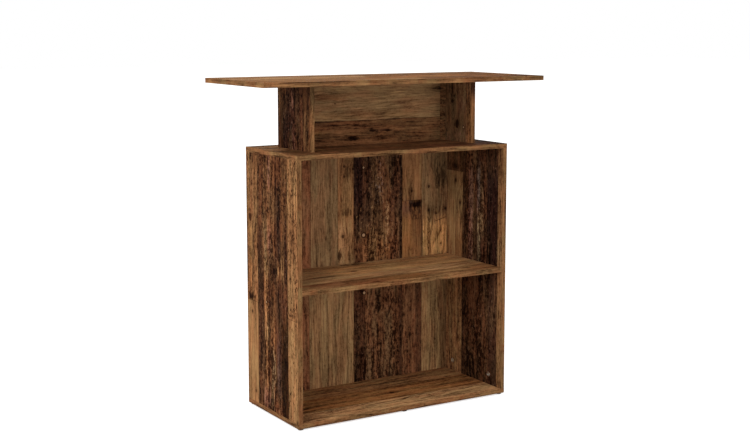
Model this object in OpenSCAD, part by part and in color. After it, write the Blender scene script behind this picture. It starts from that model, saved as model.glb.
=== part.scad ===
// Standing reception desk in knock-down board construction: an open cabinet with one
// fixed shelf, a narrower riser standing on it, and a wide desk top over both.
// Millimetres. The origin is on the floor under the middle of the desk top.
// +Z is up, the open front faces -Y, and +X is to the right as seen from the front.

/* [Desk top] */
// Width of the desk top
top_w = 1000; // [880:10:1300]
// Depth of the desk top
top_d = 400; // [350:5:600]

/* [Riser] */
// Width over the two riser uprights
riser_w = 600; // [420:10:700]
// Depth of the riser uprights
riser_d = 210; // [180:5:290]
// Clear height of the niche in the riser
riser_h = 200; // [150:5:320]
// Distance from the rear edges of the uprights to the rear face of the riser back
riser_back_inset = 50; // [36:1:80]

/* [Cabinet] */
// Width over the two side panels
cabinet_w = 760; // [720:5:860]
// Depth of the cabinet
cabinet_d = 340; // [310:5:400]
// Clear height of the lower compartment
lower_bay_h = 387.5; // [250:0.5:450]
// Clear height of the upper compartment
upper_bay_h = 387.5; // [250:0.5:450]
// Distance from the rear edges of the cabinet to the rear face of the back panel
back_panel_inset = 10; // [2:1:25]

/* [Boards] */
// Thickness of every board
board_t = 15; // [15:0.5:22]
// Thickness of the edging strips
edging_t = 1; // [0.4:0.1:2]
// Bevel along the outer corners of the edging strips
edging_ease = 0.3; // [0.1:0.1:0.4]

/* [Feet] */
// Diameter of a glide foot
foot_d = 18; // [12:1:24]
// Height of a glide foot
foot_h = 5; // [4:0.5:12]
// Distance from the cabinet's edges to the centre of a foot
foot_inset = 13; // [12:1:40]
// Bevel round the rim of a foot
foot_ease = 1.5; // [0.5:0.1:2]
// Diameter of the nail's shank
nail_d = 2; // [1.6:0.1:2.6]
// Diameter of the nail's head
nail_head_d = 5; // [4:0.5:7]
// Thickness of the nail's head
nail_head_t = 1; // [0.6:0.1:1.4]
// Depth of the recess that hides the nail's head
nail_recess = 2; // [1.5:0.1:2.5]
// Length of the nail in the bottom panel
nail_grip = 9; // [6:0.5:11]

/* [Cam fittings] */
// Diameter of a cam lock
cam_d = 15; // [12:0.5:18]
// Distance from a joint's face to the cam lock's axis
cam_setback = 34; // [24:1:40]
// Depth of a cam lock below the bolt's axis
cam_below_axis = 4.5; // [4:0.1:5]
// Length of the cross slot in a cam lock's face
cam_cross_l = 8; // [5:0.5:10]
// Width of the cross slot
cam_cross_w = 1.6; // [1:0.1:2.2]
// Depth of the cross slot
cam_cross_depth = 2; // [1:0.1:2.5]
// Diameter of the bolt's shank
bolt_d = 6; // [5:0.1:6.5]
// Length of the bolt's shank inside the cam lock
bolt_entry = 1; // [0.5:0.1:1.5]
// Diameter of the bolt's neck behind its head
bolt_neck_d = 3.6; // [3:0.1:4.4]
// Length of the bolt's neck
bolt_neck_l = 3; // [2:0.1:4]
// Length of the bolt's head
bolt_head_l = 2.5; // [1.5:0.1:3]
// Diameter of the bolt's thread in the board's face
thread_d = 5; // [4:0.1:5.6]
// Length of the bolt's thread
thread_l = 11; // [8:0.5:12]

/* [Dowels] */
// Diameter of a wooden dowel
dowel_d = 8; // [6:0.5:10]
// Length of a wooden dowel
dowel_l = 30; // [24:1:40]
// Length of a dowel in the face of a board
dowel_bite = 10; // [6:0.5:11]
// Bevel on the ends of a dowel
dowel_ease = 0.8; // [0.4:0.1:1.5]

/* [Fitting positions] */
// From the front or rear edge to the cam lock in the cabinet's boards
cabinet_cam_edge = 66; // [50:1:80]
// From a cam lock in the cabinet's boards to the dowel beside it
dowel_pitch = 32; // [24:1:40]
// From the rear edge of a riser upright to its cam locks
riser_cam_edge = 25; // [12:1:26]
// From the front edge of a riser upright to its first dowel
riser_dowel_edge = 40; // [20:1:60]
// From the first dowel of a riser upright to the second
riser_dowel_pitch = 64; // [32:1:70]
// From the ends of an upright back board to its cam locks
back_cam_edge = 120; // [60:5:160]
// From the ends of the cabinet's back panel to its outer side dowels
back_dowel_edge = 100; // [60:5:200]
// From the top and bottom of the riser back to its side dowels
riser_back_dowel_edge = 50; // [30:1:65]

/* [Fits] */
// Radial clearance of the fittings in their bores
fit_gap = 0.1; // [0.05:0.01:0.2]

/* [Hidden] */

// Levels, from the floor upwards
bottom_z = foot_h;
lower_bay_z = bottom_z + board_t;
shelf_z = lower_bay_z + lower_bay_h;
upper_bay_z = shelf_z + board_t;
cabinet_top_z = upper_bay_z + upper_bay_h;
riser_z = cabinet_top_z + board_t;
desk_top_z = riser_z + riser_h;
bays_h = cabinet_top_z - lower_bay_z;

// Widths between boards
bay_w = cabinet_w - 2 * board_t;
niche_w = riser_w - 2 * board_t;

// Middle planes of the upright boards, on the right side
side_mid_x = (cabinet_w - board_t) / 2;
upright_mid_x = (riser_w - board_t) / 2;

// Front and rear planes
cabinet_front_y = -cabinet_d / 2;
cabinet_rear_y = cabinet_d / 2;
riser_front_y = -riser_d / 2;
riser_rear_y = riser_d / 2;
back_panel_y = cabinet_rear_y - back_panel_inset - board_t;
riser_back_y = riser_rear_y - riser_back_inset - board_t;
back_panel_mid_y = back_panel_y + board_t / 2;
riser_back_mid_y = riser_back_y + board_t / 2;
shelf_d = back_panel_y - cabinet_front_y;

// Stations of the fittings
side_cam_rows = [cabinet_front_y + cabinet_cam_edge, cabinet_rear_y - cabinet_cam_edge];
side_dowel_rows = [side_cam_rows[0] + dowel_pitch, side_cam_rows[1] - dowel_pitch];
shelf_cam_rows = [cabinet_front_y + cabinet_cam_edge, back_panel_y - cabinet_cam_edge];
shelf_dowel_rows = [shelf_cam_rows[0] + dowel_pitch, shelf_cam_rows[1] - dowel_pitch];
top_dowel_rows = [side_cam_rows[0], 0, side_cam_rows[1]];
riser_cam_row = riser_rear_y - riser_cam_edge;
riser_dowel_rows = [riser_front_y + riser_dowel_edge,
                    riser_front_y + riser_dowel_edge + riser_dowel_pitch];
back_cam_x = bay_w / 2 - back_cam_edge;
riser_back_cam_x = niche_w / 2 - back_cam_edge;
back_dowel_levels = [lower_bay_z + back_dowel_edge, lower_bay_z + bays_h / 2,
                     cabinet_top_z - back_dowel_edge];
riser_back_dowel_levels = [riser_z + riser_back_dowel_edge, desk_top_z - riser_back_dowel_edge];

// Sizes of the fittings
cam_h = board_t / 2 + cam_below_axis;
bolt_bore_d = bolt_d + 2;
bolt_shank_l = cam_setback - cam_d / 2 + bolt_entry;
bolt_tip = bolt_shank_l + bolt_neck_l + bolt_head_l;
nail_hole_d = nail_d + 2 * fit_gap;
recess_r = nail_head_d / 2 + 4 * fit_gap;
cut = 1;
$fn = 48;

// Colours of the raw CAD model
board_colour = [0.42, 0.29, 0.19];
upright_colour = [0.33, 0.23, 0.16];
edging_colour = [0.60, 0.42, 0.26];
zinc_colour = [0.72, 0.72, 0.70];
steel_colour = [0.55, 0.56, 0.58];
dowel_colour = [0.80, 0.66, 0.46];
foot_colour = [0.12, 0.12, 0.12];

// Draws its children on the left, and again mirrored on the right.
module both_sides() {
    children();
    mirror([1, 0, 0]) children();
}

// A board's core: low corner and size of the finished board, cut back at each edge
// that carries an edging strip. edged is [left, right, front, rear], 1 or 0 each.
module core(low, size, edged) {
    translate([low[0] + edged[0] * edging_t, low[1] + edged[2] * edging_t, low[2]])
        cube([size[0] - (edged[0] + edged[1]) * edging_t,
              size[1] - (edged[2] + edged[3]) * edging_t, size[2]]);
}

// An edging strip along +Z, lying in the plane y = 0 with its outer face towards -Y.
module strip(width, length) {
    linear_extrude(length)
        polygon([[0, 0], [0, edging_ease - edging_t], [edging_ease, -edging_t],
                 [width - edging_ease, -edging_t], [width, edging_ease - edging_t],
                 [width, 0]]);
}

// The two strips on the front and rear edges of a standing board.
module standing_strips(x, front_y, rear_y, z, height) {
    translate([x, front_y + edging_t, z]) strip(board_t, height);
    translate([x + board_t, rear_y - edging_t, z]) rotate([0, 0, 180]) strip(board_t, height);
}

// The strip on the front edge of a lying board of a given width, centred on x = 0.
module front_strip(width, front_y, z) {
    translate([-width / 2, front_y + edging_t, z + board_t])
        rotate([0, 90, 0]) strip(board_t, width);
}

// The four strips round a lying board that is centred on the origin.
module lying_strips(width, depth, z) {
    front_strip(width, -depth / 2, z);
    rotate([0, 0, 180]) front_strip(width, -depth / 2, z);
    both_sides()
        rotate([0, 0, -90]) front_strip(depth - 2 * edging_t, -width / 2, z);
}

// Stations. Each draws its children in a frame of its own: the origin is where the
// fitting crosses the joint, +Z runs into the board that is held by its end, and +X
// points to the face of that board which takes the cam lock.
module at_side_foot(rows) {
    both_sides() for (y = rows) translate([-side_mid_x, y, lower_bay_z]) children();
}

module at_side_head(rows) {
    both_sides()
        for (y = rows) translate([-side_mid_x, y, cabinet_top_z]) rotate([180, 0, 0]) children();
}

module at_shelf_end(rows) {
    both_sides()
        for (y = rows)
            translate([-bay_w / 2, y, shelf_z + board_t / 2]) rotate([0, 90, 0]) children();
}

module at_upright_foot(rows) {
    both_sides() for (y = rows) translate([-upright_mid_x, y, riser_z]) children();
}

module at_upright_head(rows) {
    both_sides()
        for (y = rows) translate([-upright_mid_x, y, desk_top_z]) rotate([180, 0, 0]) children();
}

module at_board_foot(x, mid_y, z) {
    both_sides() translate([-x, mid_y, z]) rotate([0, 0, 90]) children();
}

module at_board_head(x, mid_y, z) {
    both_sides() translate([-x, mid_y, z]) rotate([180, 0, 90]) children();
}

module at_board_ends(width, mid_y, levels) {
    both_sides()
        for (z = levels) translate([-width / 2, mid_y, z]) rotate([0, 90, 0]) children();
}

// A cam lock: a drum with a cross slot in its face and a cavity for the bolt's head.
module cam_lock() {
    color(zinc_colour)
    translate([0, 0, cam_setback])
        difference() {
            translate([board_t / 2 - cam_h, 0, 0]) rotate([0, 90, 0]) cylinder(d = cam_d, h = cam_h);
            for (turn = [45, 135])
                translate([board_t / 2 - cam_cross_depth / 2 + cut / 2, 0, 0])
                    rotate([turn, 0, 0])
                        cube([cam_cross_depth + cut, cam_cross_l, cam_cross_w], center = true);
            translate([0, 0, -cam_d])
                cylinder(d = bolt_d + 2 * fit_gap, h = cam_d + bolt_tip - cam_setback);
        }
}

// The bores for a cam lock and its bolt, in the board that holds the lock.
module cam_bore() {
    translate([board_t / 2 - cam_h - fit_gap, 0, cam_setback])
        rotate([0, 90, 0]) cylinder(d = cam_d + 2 * fit_gap, h = cam_h + fit_gap + cut);
    translate([0, 0, -cut]) cylinder(d = bolt_bore_d, h = cam_setback + cut);
}

// A cam bolt: thread in the face of one board, shank, neck and head in the other.
module cam_bolt() {
    color(steel_colour) {
        translate([0, 0, -thread_l]) cylinder(d = thread_d, h = thread_l);
        cylinder(d = bolt_d, h = bolt_shank_l);
        translate([0, 0, bolt_shank_l]) cylinder(d = bolt_neck_d, h = bolt_neck_l);
        translate([0, 0, bolt_shank_l + bolt_neck_l]) cylinder(d = bolt_d, h = bolt_head_l);
    }
}

// The blind bore for a cam bolt's thread, in the face of the other board.
module thread_bore() {
    translate([0, 0, -thread_l - fit_gap])
        cylinder(d = thread_d + 2 * fit_gap, h = thread_l + fit_gap + cut);
}

// A wooden dowel across a joint.
module dowel() {
    color(dowel_colour)
    translate([0, 0, -dowel_bite])
        rotate_extrude()
            polygon([[0, 0], [dowel_d / 2 - dowel_ease, 0], [dowel_d / 2, dowel_ease],
                     [dowel_d / 2, dowel_l - dowel_ease], [dowel_d / 2 - dowel_ease, dowel_l],
                     [0, dowel_l]]);
}

// The blind bore for a dowel, through both boards of its joint.
module dowel_bore() {
    translate([0, 0, -dowel_bite - fit_gap])
        cylinder(d = dowel_d + 2 * fit_gap, h = dowel_l + 2 * fit_gap);
}

module desk_top() {
    color(board_colour)
    difference() {
        core([-top_w / 2, -top_d / 2, desk_top_z], [top_w, top_d, board_t], [1, 1, 1, 1]);
        at_upright_head([riser_cam_row]) thread_bore();
        at_upright_head(riser_dowel_rows) dowel_bore();
        at_board_head(riser_back_cam_x, riser_back_mid_y, desk_top_z) thread_bore();
    }
}

module desk_top_edging() {
    color(edging_colour) lying_strips(top_w, top_d, desk_top_z);
}

// The left riser upright. The right one is its mirror image.
module upright() {
    color(upright_colour)
    difference() {
        core([-riser_w / 2, riser_front_y, riser_z], [board_t, riser_d, riser_h], [0, 0, 1, 1]);
        at_upright_foot([riser_cam_row]) cam_bore();
        at_upright_head([riser_cam_row]) cam_bore();
        at_upright_foot(riser_dowel_rows) dowel_bore();
        at_upright_head(riser_dowel_rows) dowel_bore();
        at_board_ends(niche_w, riser_back_mid_y, riser_back_dowel_levels) dowel_bore();
    }
}

module upright_edging() {
    color(edging_colour) standing_strips(-riser_w / 2, riser_front_y, riser_rear_y, riser_z, riser_h);
}

module riser_left() { upright(); }

module riser_right() { mirror([1, 0, 0]) upright(); }

module riser_left_edging() { upright_edging(); }

module riser_right_edging() { mirror([1, 0, 0]) upright_edging(); }

module riser_back() {
    color(board_colour)
    difference() {
        core([-niche_w / 2, riser_back_y, riser_z], [niche_w, board_t, riser_h], [0, 0, 0, 0]);
        at_board_foot(riser_back_cam_x, riser_back_mid_y, riser_z) cam_bore();
        at_board_head(riser_back_cam_x, riser_back_mid_y, desk_top_z) cam_bore();
        at_board_ends(niche_w, riser_back_mid_y, riser_back_dowel_levels) dowel_bore();
    }
}

module cabinet_top() {
    color(board_colour)
    difference() {
        core([-cabinet_w / 2, cabinet_front_y, cabinet_top_z], [cabinet_w, cabinet_d, board_t],
             [1, 1, 1, 1]);
        at_side_head(top_dowel_rows) dowel_bore();
        at_board_head(back_cam_x, back_panel_mid_y, cabinet_top_z) thread_bore();
        at_upright_foot([riser_cam_row]) thread_bore();
        at_upright_foot(riser_dowel_rows) dowel_bore();
        at_board_foot(riser_back_cam_x, riser_back_mid_y, riser_z) thread_bore();
    }
}

module cabinet_top_edging() {
    color(edging_colour) lying_strips(cabinet_w, cabinet_d, cabinet_top_z);
}

// The left side panel. The right one is its mirror image.
module side_panel() {
    color(upright_colour)
    difference() {
        core([-cabinet_w / 2, cabinet_front_y, lower_bay_z], [board_t, cabinet_d, bays_h],
             [0, 0, 1, 1]);
        at_side_foot(side_cam_rows) cam_bore();
        at_side_foot(side_dowel_rows) dowel_bore();
        at_side_head(top_dowel_rows) dowel_bore();
        at_shelf_end(shelf_cam_rows) thread_bore();
        at_shelf_end(shelf_dowel_rows) dowel_bore();
        at_board_ends(bay_w, back_panel_mid_y, back_dowel_levels) dowel_bore();
    }
}

module side_panel_edging() {
    color(edging_colour)
        standing_strips(-cabinet_w / 2, cabinet_front_y, cabinet_rear_y, lower_bay_z, bays_h);
}

module side_left() { side_panel(); }

module side_right() { mirror([1, 0, 0]) side_panel(); }

module side_left_edging() { side_panel_edging(); }

module side_right_edging() { mirror([1, 0, 0]) side_panel_edging(); }

module shelf() {
    color(board_colour)
    difference() {
        core([-bay_w / 2, cabinet_front_y, shelf_z], [bay_w, shelf_d, board_t], [0, 0, 1, 0]);
        at_shelf_end(shelf_cam_rows) cam_bore();
        at_shelf_end(shelf_dowel_rows) dowel_bore();
    }
}

module shelf_edging() {
    color(edging_colour) front_strip(bay_w, cabinet_front_y, shelf_z);
}

module cabinet_bottom() {
    color(board_colour)
    difference() {
        core([-cabinet_w / 2, cabinet_front_y, bottom_z], [cabinet_w, cabinet_d, board_t],
             [1, 1, 1, 1]);
        at_side_foot(side_cam_rows) thread_bore();
        at_side_foot(side_dowel_rows) dowel_bore();
        at_board_foot(back_cam_x, back_panel_mid_y, lower_bay_z) thread_bore();
        for (place = [for (x = [-1, 0, 1]) for (y = [-1, 1]) [x, y]])
            at_foot(place[0], place[1])
                translate([0, 0, foot_h - cut])
                    cylinder(d = nail_hole_d, h = nail_grip + fit_gap + cut);
    }
}

module cabinet_bottom_edging() {
    color(edging_colour) lying_strips(cabinet_w, cabinet_d, bottom_z);
}

module back_panel() {
    color(board_colour)
    difference() {
        core([-bay_w / 2, back_panel_y, lower_bay_z], [bay_w, board_t, bays_h], [0, 0, 0, 0]);
        at_board_foot(back_cam_x, back_panel_mid_y, lower_bay_z) cam_bore();
        at_board_head(back_cam_x, back_panel_mid_y, cabinet_top_z) cam_bore();
        at_board_ends(bay_w, back_panel_mid_y, back_dowel_levels) dowel_bore();
    }
}

// Places its children under a foot's centre: column -1, 0 or 1 and row -1 or 1.
module at_foot(column, row) {
    translate([column * (cabinet_w / 2 - foot_inset), row * (cabinet_d / 2 - foot_inset), 0])
        children();
}

// A nail-on glide with a bevelled rim and a recess for the nail's head.
module glide() {
    color(foot_colour)
    rotate_extrude()
        polygon([[nail_hole_d / 2, nail_recess], [recess_r, nail_recess], [recess_r, 0],
                 [foot_d / 2 - foot_ease, 0], [foot_d / 2, foot_ease], [foot_d / 2, foot_h],
                 [nail_hole_d / 2, foot_h]]);
}

module foot_front_left() { at_foot(-1, -1) glide(); }

module foot_front_middle() { at_foot(0, -1) glide(); }

module foot_front_right() { at_foot(1, -1) glide(); }

module foot_rear_left() { at_foot(-1, 1) glide(); }

module foot_rear_middle() { at_foot(0, 1) glide(); }

module foot_rear_right() { at_foot(1, 1) glide(); }

module foot_nails() {
    color(steel_colour)
    for (column = [-1, 0, 1])
        for (row = [-1, 1])
            at_foot(column, row) {
                translate([0, 0, nail_recess - nail_head_t])
                    cylinder(d = nail_head_d, h = nail_head_t);
                translate([0, 0, nail_recess - nail_head_t / 2])
                    cylinder(d = nail_d, h = foot_h - nail_recess + nail_head_t / 2 + nail_grip);
            }
}

module side_cams() { at_side_foot(side_cam_rows) cam_lock(); }

module shelf_cams() { at_shelf_end(shelf_cam_rows) cam_lock(); }

module back_panel_cams() {
    at_board_foot(back_cam_x, back_panel_mid_y, lower_bay_z) cam_lock();
    at_board_head(back_cam_x, back_panel_mid_y, cabinet_top_z) cam_lock();
}

module riser_cams() {
    at_upright_foot([riser_cam_row]) cam_lock();
    at_upright_head([riser_cam_row]) cam_lock();
}

module riser_back_cams() {
    at_board_foot(riser_back_cam_x, riser_back_mid_y, riser_z) cam_lock();
    at_board_head(riser_back_cam_x, riser_back_mid_y, desk_top_z) cam_lock();
}

module side_cam_bolts() { at_side_foot(side_cam_rows) cam_bolt(); }

module shelf_cam_bolts() { at_shelf_end(shelf_cam_rows) cam_bolt(); }

module back_panel_cam_bolts() {
    at_board_foot(back_cam_x, back_panel_mid_y, lower_bay_z) cam_bolt();
    at_board_head(back_cam_x, back_panel_mid_y, cabinet_top_z) cam_bolt();
}

module riser_cam_bolts() {
    at_upright_foot([riser_cam_row]) cam_bolt();
    at_upright_head([riser_cam_row]) cam_bolt();
}

module riser_back_cam_bolts() {
    at_board_foot(riser_back_cam_x, riser_back_mid_y, riser_z) cam_bolt();
    at_board_head(riser_back_cam_x, riser_back_mid_y, desk_top_z) cam_bolt();
}

module bottom_dowels() { at_side_foot(side_dowel_rows) dowel(); }

module top_dowels() { at_side_head(top_dowel_rows) dowel(); }

module shelf_dowels() { at_shelf_end(shelf_dowel_rows) dowel(); }

module back_panel_dowels() { at_board_ends(bay_w, back_panel_mid_y, back_dowel_levels) dowel(); }

module riser_foot_dowels() { at_upright_foot(riser_dowel_rows) dowel(); }

module riser_head_dowels() { at_upright_head(riser_dowel_rows) dowel(); }

module riser_back_dowels() {
    at_board_ends(niche_w, riser_back_mid_y, riser_back_dowel_levels) dowel();
}

desk_top();
desk_top_edging();
riser_left();
riser_left_edging();
riser_right();
riser_right_edging();
riser_back();
cabinet_top();
cabinet_top_edging();
side_left();
side_left_edging();
side_right();
side_right_edging();
shelf();
shelf_edging();
cabinet_bottom();
cabinet_bottom_edging();
back_panel();
foot_front_left();
foot_front_middle();
foot_front_right();
foot_rear_left();
foot_rear_middle();
foot_rear_right();
foot_nails();
side_cams();
shelf_cams();
back_panel_cams();
riser_cams();
riser_back_cams();
side_cam_bolts();
shelf_cam_bolts();
back_panel_cam_bolts();
riser_cam_bolts();
riser_back_cam_bolts();
bottom_dowels();
top_dowels();
shelf_dowels();
back_panel_dowels();
riser_foot_dowels();
riser_head_dowels();
riser_back_dowels();
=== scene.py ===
import math
from collections import namedtuple

import bpy
from mathutils import Matrix, Vector


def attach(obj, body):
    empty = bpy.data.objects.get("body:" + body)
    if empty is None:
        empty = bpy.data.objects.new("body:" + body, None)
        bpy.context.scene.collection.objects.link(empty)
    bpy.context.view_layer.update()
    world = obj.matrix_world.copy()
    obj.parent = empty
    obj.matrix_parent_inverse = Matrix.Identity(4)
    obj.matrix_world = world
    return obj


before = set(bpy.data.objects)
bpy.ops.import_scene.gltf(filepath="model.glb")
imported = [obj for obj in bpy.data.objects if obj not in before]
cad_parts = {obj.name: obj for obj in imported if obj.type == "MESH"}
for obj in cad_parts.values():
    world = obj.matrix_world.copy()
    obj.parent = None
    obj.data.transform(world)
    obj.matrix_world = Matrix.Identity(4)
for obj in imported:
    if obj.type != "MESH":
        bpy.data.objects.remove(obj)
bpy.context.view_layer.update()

MM = 0.001

# Construction sizes in millimetres, as the boards are cut.
DESK_TOP = {"width": 1000, "depth": 400}
CABINET = {"width": 760, "depth": 340, "side_height": 790, "side_foot": 20}
RISER = {"width": 600, "depth": 210, "height": 200, "foot": 825}
BOARD = 15
EDGING = 1
SHELF_FOOT = 407.5
BACK_PANEL_INSET = 10
RISER_BACK_INSET = 50

# Where a Mix node has its first value and its result, for each kind of value
MIX_SOCKETS = {"FLOAT": (2, 0), "VECTOR": (4, 1), "RGBA": (6, 2)}


class Wires:
    """Adds nodes to one shader or geometry tree. A value is a number, a tuple or a socket."""

    def __init__(self, tree):
        self.tree = tree

    def feed(self, socket, value):
        if isinstance(value, bpy.types.NodeSocket):
            self.tree.links.new(value, socket)
        else:
            socket.default_value = value

    def node(self, kind, values=None, **settings):
        """A new node. values has what goes into its inputs, by their names or numbers."""
        made = self.tree.nodes.new(kind)
        for name, value in settings.items():
            setattr(made, name, value)
        for name, value in (values or {}).items():
            self.feed(made.inputs[name], value)
        return made

    def math(self, operation, *values):
        return self.node("ShaderNodeMath", dict(enumerate(values)), operation=operation).outputs[0]

    def chain(self, operation, first, *others):
        for other in others:
            first = self.math(operation, first, other)
        return first

    def least(self, *values):
        return self.chain("MINIMUM", *values)

    def most(self, *values):
        return self.chain("MAXIMUM", *values)

    def product(self, *values):
        return self.chain("MULTIPLY", *values)

    def total(self, *values):
        return self.chain("ADD", *values)

    def minus(self, first, second):
        return self.math("SUBTRACT", first, second)

    def over(self, first, second):
        return self.math("DIVIDE", first, second)

    def size(self, value):
        """A number without its sign."""
        return self.math("ABSOLUTE", value)

    def swing(self, value, width):
        """Turns a value round 0.5, such as noise, into one round 0 that is width times as wide."""
        return self.product(self.minus(value, 0.5), width)

    def distance(self, aside, ahead):
        return self.math("SQRT", self.total(self.product(aside, aside), self.product(ahead, ahead)))

    def fade(self, value, start, end, low=0.0, high=1.0):
        """Goes smoothly from low, where value is start, to high, where it is end."""
        values = {"Value": value, "From Min": start, "From Max": end, "To Min": low, "To Max": high}
        made = self.node("ShaderNodeMapRange", values, interpolation_type="SMOOTHSTEP")
        return made.outputs["Result"]

    def mix(self, amount, first, second, kind="FLOAT", how="MIX"):
        """A value between first and second."""
        place, result = MIX_SOCKETS[kind]
        made = self.node("ShaderNodeMix", {0: amount}, data_type=kind, blend_type=how)
        self.feed(made.inputs[place], first)
        self.feed(made.inputs[place + 1], second)
        return made.outputs[result]

    def mix_colour(self, amount, first, second):
        return self.mix(amount, first, second, "RGBA")

    def tinted(self, colour, tint, amount=1.0):
        """Colour, multiplied by tint as far as amount says."""
        return self.mix(amount, colour, tint, "RGBA", "MULTIPLY")

    def scaled(self, colour, factor):
        made = self.node("ShaderNodeVectorMath", {0: colour, "Scale": factor}, operation="SCALE")
        return made.outputs[0]

    def parts(self, value):
        return self.node("ShaderNodeSeparateXYZ", {0: value}).outputs

    def object_place(self):
        """The place on the part, in metres from its origin."""
        return self.node("ShaderNodeTexCoord").outputs["Object"]

    def along_axis(self, value, axis):
        """How far value reaches along an axis."""
        made = self.node("ShaderNodeVectorMath", {0: value, 1: axis}, operation="DOT_PRODUCT")
        return made.outputs["Value"]

    def depth_inside(self, given, lengthwise=1.0):
        """How far a place lies inside a group's Left, Right, Low and High edges."""
        return self.least(
            self.minus(given["Across"], given["Left"]),
            self.minus(given["Right"], given["Across"]),
            self.product(self.minus(given["Along"], given["Low"]), lengthwise),
            self.product(self.minus(given["High"], given["Along"]), lengthwise))

    def from_centre(self, given):
        """How far aside and ahead of a group's centre a place lies."""
        return (self.minus(given["Across"], given["Centre Across"]),
                self.minus(given["Along"], given["Centre Along"]))

    def mottle(self, place, cells, detail=2.0, roughness=0.5, distortion=0.0):
        """Noise with so many cells in a metre each way."""
        values = {"Vector": place, "Scale": cells, "Detail": detail, "Roughness": roughness,
                  "Distortion": distortion}
        return self.node("ShaderNodeTexNoise", values).outputs["Fac"]

    def noise(self, across, along, cells, seed, **settings):
        """Noise with its own numbers of cells in a metre across and along."""
        place = self.node("ShaderNodeCombineXYZ", {0: self.product(across, cells[0]),
                                                   1: self.product(along, cells[1]), 2: seed})
        return self.mottle(place.outputs[0], 1.0, **settings)

    def use(self, group, values):
        """Places a node group. It takes the values that it has inputs for."""
        made = self.node("ShaderNodeGroup", node_tree=group)
        for socket in made.inputs:
            if socket.name in values:
                self.feed(socket, values[socket.name])
        return {socket.name: socket for socket in made.outputs}


def socket_kind(label):
    """Tones are colours, a character is a vector, and the rest are numbers."""
    if label.endswith(("Tone", "Color")):
        return "NodeSocketColor"
    return "NodeSocketVector" if label.endswith("Character") else "NodeSocketFloat"


def new_group(name, inputs, outputs, fill):
    """A shader node group. fill makes its nodes and gives the outputs' values."""
    tree = bpy.data.node_groups.new(name, "ShaderNodeTree")
    for side, labels in (("INPUT", inputs), ("OUTPUT", outputs)):
        for label in labels:
            tree.interface.new_socket(label, in_out=side, socket_type=socket_kind(label))
    wires = Wires(tree)
    given = wires.node("NodeGroupInput").outputs
    wires.node("NodeGroupOutput", dict(zip(outputs, fill(wires, given))))
    return tree


def link(obj):
    bpy.context.scene.collection.objects.link(obj)
    return obj


def paint(red, green, blue):
    """A colour as a paint chart gives it, 0 to 255, in the form that sockets take."""
    parts = []
    for part in (red, green, blue):
        level = part / 255
        parts.append(level / 12.92 if level <= 0.04045 else ((level + 0.055) / 1.055) ** 2.4)
    return (*parts, 1.0)


def plank(wires, given):
    """One plank of the print: inside its four edges it sets tone and character anew.

    Character holds weathering, figure and seed. Seam is 1 along the planks' edges.
    """
    depth = wires.depth_inside(given)
    inside = wires.math("GREATER_THAN", depth, 0.0)
    tone = wires.mix_colour(inside, given["Tone"], given["Own Tone"])
    character = wires.mix(inside, given["Character"], given["Own Character"], "VECTOR")
    line = wires.fade(wires.size(depth), 1.4 * MM, 0.2 * MM)
    older = wires.product(given["Seam"], wires.minus(1.0, inside))
    return tone, character, wires.most(line, older)


def streak(wires, given):
    """A soft-edged streak along the grain, in a tone of its own."""
    depth = wires.total(wires.depth_inside(given, lengthwise=0.12),
                        wires.swing(given["Ragged"], 22 * MM))
    amount = wires.product(wires.fade(depth, -3 * MM, 4 * MM), given["Strength"])
    return [wires.mix_colour(amount, given["Tone"], given["Own Tone"])]


def flecks(wires, given):
    """Short flecks of one tone, spread over a part of a plank."""
    spots = wires.noise(given["Across"], given["Along"], (200, 66), given["Seed"],
                        detail=3.0, roughness=0.62)
    threshold = wires.minus(0.68, wires.product(given["Amount"], 0.16))
    spot = wires.fade(spots, threshold, wires.total(threshold, 0.05))
    inside = wires.fade(wires.depth_inside(given), -2 * MM, 6 * MM)
    return [wires.mix_colour(wires.product(spot, inside, 0.85), given["Tone"], given["Own Tone"])]


def knot(wires, given):
    """A dark knot. Grain is the across coordinate, bent so that the grain flows round it."""
    aside, ahead = wires.from_centre(given)
    away = wires.distance(aside, wires.over(ahead, given["Stretch"]))
    reach = wires.over(away, given["Radius"])
    near = wires.math("EXPONENT", wires.product(reach, reach, -0.12))
    rough = wires.total(reach, wires.swing(given["Ragged"], 0.9))
    core = wires.fade(rough, 1.25, 0.95)
    halo = wires.product(wires.math("EXPONENT", wires.product(rough, rough, -0.22)), 0.55)
    shade = wires.product(wires.most(core, halo), given["Darkness"])
    return (wires.total(given["Grain"], wires.product(aside, near, -0.7)),
            wires.most(given["Dark"], shade))


def smudge(wires, given):
    """A cloudy dark stain, longer along the grain."""
    aside, ahead = wires.from_centre(given)
    away = wires.distance(wires.over(aside, given["Half Width"]),
                          wires.over(ahead, given["Half Length"]))
    amount = wires.fade(wires.total(away, wires.swing(given["Cloud"], 4.2)), 1.15, 0.45)
    return [wires.most(given["Dark"], wires.product(amount, given["Darkness"]))]


def nail_mark(wires, given):
    """A pale round nail mark with a dark ring round it."""
    reach = wires.over(wires.distance(*wires.from_centre(given)), given["Radius"])
    disc = wires.fade(reach, 1.15, 0.85)
    ring = wires.product(wires.fade(reach, 2.3, 1.3), wires.minus(1.0, disc), 0.85)
    return wires.most(given["Dark"], ring), wires.most(given["Pale"], disc)


def check(wires, given):
    """A hairline crack across the grain, at a slant."""
    aside, ahead = wires.from_centre(given)
    off_line = wires.total(wires.minus(ahead, wires.product(aside, given["Slant"])),
                           wires.swing(given["Ragged"], 5 * MM))
    thin = wires.fade(wires.size(off_line), 1.7 * MM, 0.5 * MM)
    reach = wires.over(wires.size(aside), given["Half Length"])
    line = wires.product(thin, wires.fade(reach, 1.0, 0.7), 0.9)
    return [wires.most(given["Dark"], line)]


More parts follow.
